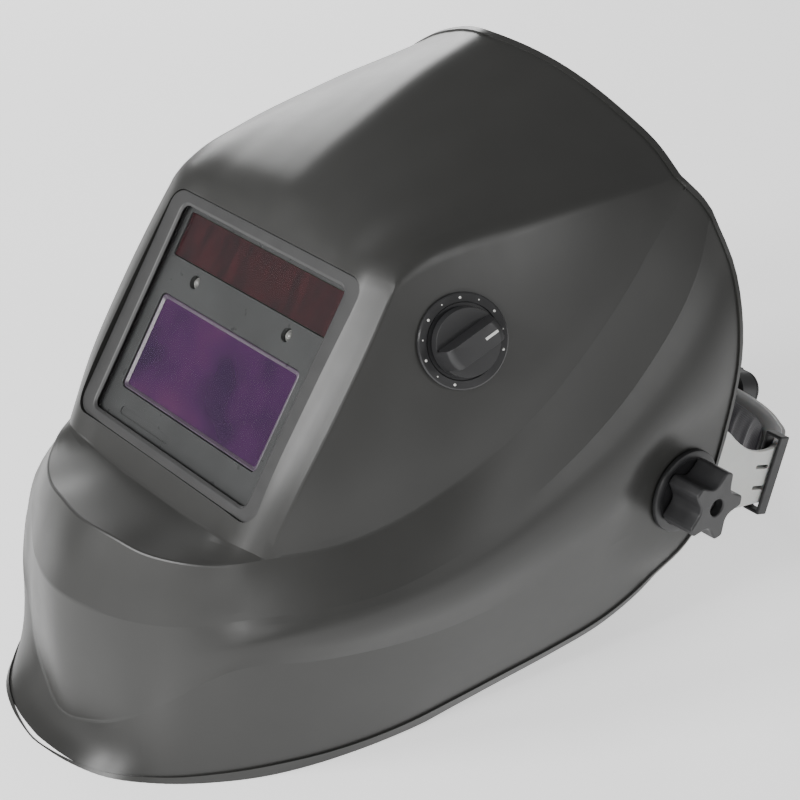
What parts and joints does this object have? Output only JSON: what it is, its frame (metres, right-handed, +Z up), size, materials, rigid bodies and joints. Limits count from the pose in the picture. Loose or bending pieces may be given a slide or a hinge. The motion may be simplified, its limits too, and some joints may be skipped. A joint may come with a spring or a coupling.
{
  "type": "welding helmet",
  "caption": "Auto-darkening welding helmet: flip-up shell with filter cartridge and outside shade knob, hinged by star knobs on an adjustable ratchet headgear.",
  "frame": {"origin": "on the bench, under the middle of the helmet's bounding box", "axes": "+X to the wearer's left, +Y to the back of the head, +Z up; the window faces -Y"},
  "size_m": [0.2652, 0.391, 0.2346],
  "materials": {
    "shell_grey": "fine satin texture, slightly glossy on edges",
    "black_plastic": "satin moulded",
    "dark_rubber": "matte",
    "band_grey": "smooth flexible strap",
    "foam": "cloth over foam",
    "clear_lens": "clear polished",
    "filter_violet": "dark polished",
    "solar_red": "glossy",
    "board_green": "solder-masked board",
    "steel": "brushed"
  },
  "bodies": {
    "headgear": {"headband": "band_grey", "sweatband": "foam", "crown_strap_left": "band_grey", "crown_strap_right": "band_grey", "crown_peg": "black_plastic", "side_bracket_left": "black_plastic", "side_bracket_right": "black_plastic"},
    "pivot_carriage": {"pivot_bolt_left": "steel", "pivot_bolt_right": "steel", "pivot_slider_left": "black_plastic", "pivot_slider_right": "black_plastic", "friction_washer_left": "dark_rubber", "friction_washer_right": "dark_rubber", "pivot_spacer_left": "black_plastic", "pivot_spacer_right": "black_plastic", "knob_flange_left": "black_plastic", "knob_flange_right": "black_plastic"},
    "shell_body": {"shell": "shell_grey", "window_bezel": "shell_grey", "outer_cover_lens": "clear_lens", "lens_gasket": "dark_rubber", "adf_holder": "black_plastic", "adf_front_case": "black_plastic", "adf_back_case": "black_plastic", "solar_cell": "solar_red", "uv_ir_filter": "filter_violet", "lcd_shutter": "filter_violet", "arc_sensor_left": "solar_red", "arc_sensor_right": "solar_red", "circuit_board": "board_green", "battery_left": "steel", "battery_right": "steel", "inner_cover_lens": "clear_lens", "shade_dial_plate": "black_plastic", "shade_nut": "steel", "potentiometer": "black_plastic", "control_cable": "dark_rubber"},
    "star_knob_left": {"star_knob_left": "black_plastic"},
    "star_knob_right": {"star_knob_right": "black_plastic"},
    "tilt_adjuster": {"tilt_adjuster": "black_plastic"},
    "shade_control": {"shade_knob": "black_plastic", "shade_spindle": "steel"},
    "sensitivity_dial": {"sensitivity_dial": "black_plastic"},
    "delay_dial": {"delay_dial": "black_plastic"},
    "test_button": {"test_button": "solar_red"},
    "battery_cap_left": {"battery_cap_left": "black_plastic"},
    "battery_cap_right": {"battery_cap_right": "black_plastic"},
    "cartridge_latch": {"cartridge_latch": "black_plastic"},
    "rear_adjuster": {"rear_band": "band_grey", "rear_pad": "foam", "strap_keeper_left": "black_plastic", "strap_keeper_right": "black_plastic", "ratchet_housing": "black_plastic", "ratchet_cover": "black_plastic"},
    "ratchet_dial": {"ratchet_knob": "black_plastic", "ratchet_pinion": "black_plastic"},
    "rack_left": {"rack_left": "band_grey"},
    "rack_right": {"rack_right": "band_grey"}
  },
  "joints": [
    {"name": "reach_slide", "type": "slide", "parent": "headgear", "child": "pivot_carriage", "axis": [0, -0.9511, 0.309], "range_m": [-0.01, 0.01]},
    {"name": "flip_up", "type": "hinge", "parent": "pivot_carriage", "child": "shell_body", "pos_m": [0, 0.0363, 0.0755], "axis": [-1, 0, 0], "range_deg": [0, 72]},
    {"name": "star_knob_left_turn", "type": "hinge", "parent": "pivot_carriage", "child": "star_knob_left", "pos_m": [0.1246, 0.0363, 0.0755], "axis": [1, 0, 0], "range_deg": [0, 270]},
    {"name": "star_knob_right_turn", "type": "hinge", "parent": "pivot_carriage", "child": "star_knob_right", "pos_m": [-0.1246, 0.0363, 0.0755], "axis": [-1, 0, 0], "range_deg": [0, 270]},
    {"name": "tilt_adjuster_turn", "type": "hinge", "parent": "pivot_carriage", "child": "tilt_adjuster", "pos_m": [-0.1031, 0.0363, 0.0755], "axis": [-1, 0, 0], "range_deg": [-15, 15]},
    {"name": "shade_turn", "type": "hinge", "parent": "shell_body", "child": "shade_control", "pos_m": [0.083, -0.0538, 0.1575], "axis": [0.9047, -0.2769, 0.3239], "range_deg": [-135, 135]},
    {"name": "sensitivity_turn", "type": "hinge", "parent": "shell_body", "child": "sensitivity_dial", "pos_m": [0.012, -0.07653, 0.15527], "axis": [0, -0.8377, 0.5461], "range_deg": [-135, 135]},
    {"name": "delay_turn", "type": "hinge", "parent": "shell_body", "child": "delay_dial", "pos_m": [-0.012, -0.07653, 0.15527], "axis": [0, -0.8377, 0.5461], "range_deg": [-135, 135]},
    {"name": "battery_cap_left_turn", "type": "hinge", "parent": "shell_body", "child": "battery_cap_left", "pos_m": [0.0395, -0.07737, 0.15581], "axis": [0, -0.8377, 0.5461], "range_deg": [0, 60]},
    {"name": "battery_cap_right_turn", "type": "hinge", "parent": "shell_body", "child": "battery_cap_right", "pos_m": [-0.0395, -0.07737, 0.15581], "axis": [0, -0.8377, 0.5461], "range_deg": [0, 60]},
    {"name": "test_button_press", "type": "slide", "parent": "shell_body", "child": "test_button", "axis": [0, -0.8377, 0.5461], "range_m": [0, 0.001], "stiffness_N_per_m": 600},
    {"name": "latch_swing", "type": "hinge", "parent": "shell_body", "child": "cartridge_latch", "pos_m": [0, -0.11464, 0.09261], "axis": [-1, 0, 0], "range_deg": [0, 95]},
    {"name": "size_slide", "type": "slide", "parent": "headgear", "child": "rear_adjuster", "axis": [0, -0.9511, 0.309], "range_m": [0, 0.022]},
    {"name": "ratchet_turn", "type": "hinge", "parent": "rear_adjuster", "child": "ratchet_dial", "pos_m": [0, 0.17597, 0.02644], "axis": [0, -0.9511, 0.309], "range_deg": [0, 160]},
    {"name": "rack_left_slide", "type": "slide", "parent": "rear_adjuster", "child": "rack_left", "axis": [-1, 0, 0], "range_m": [0, 0.022]},
    {"name": "rack_right_slide", "type": "slide", "parent": "rear_adjuster", "child": "rack_right", "axis": [1, 0, 0], "range_m": [0, 0.022]}
  ],
  "couplings": [
    {"joint": "ratchet_turn", "follows": "size_slide", "rad_per_m": 125},
    {"joint": "rack_left_slide", "follows": "size_slide", "ratio": 1},
    {"joint": "rack_right_slide", "follows": "size_slide", "ratio": 1}
  ]
}
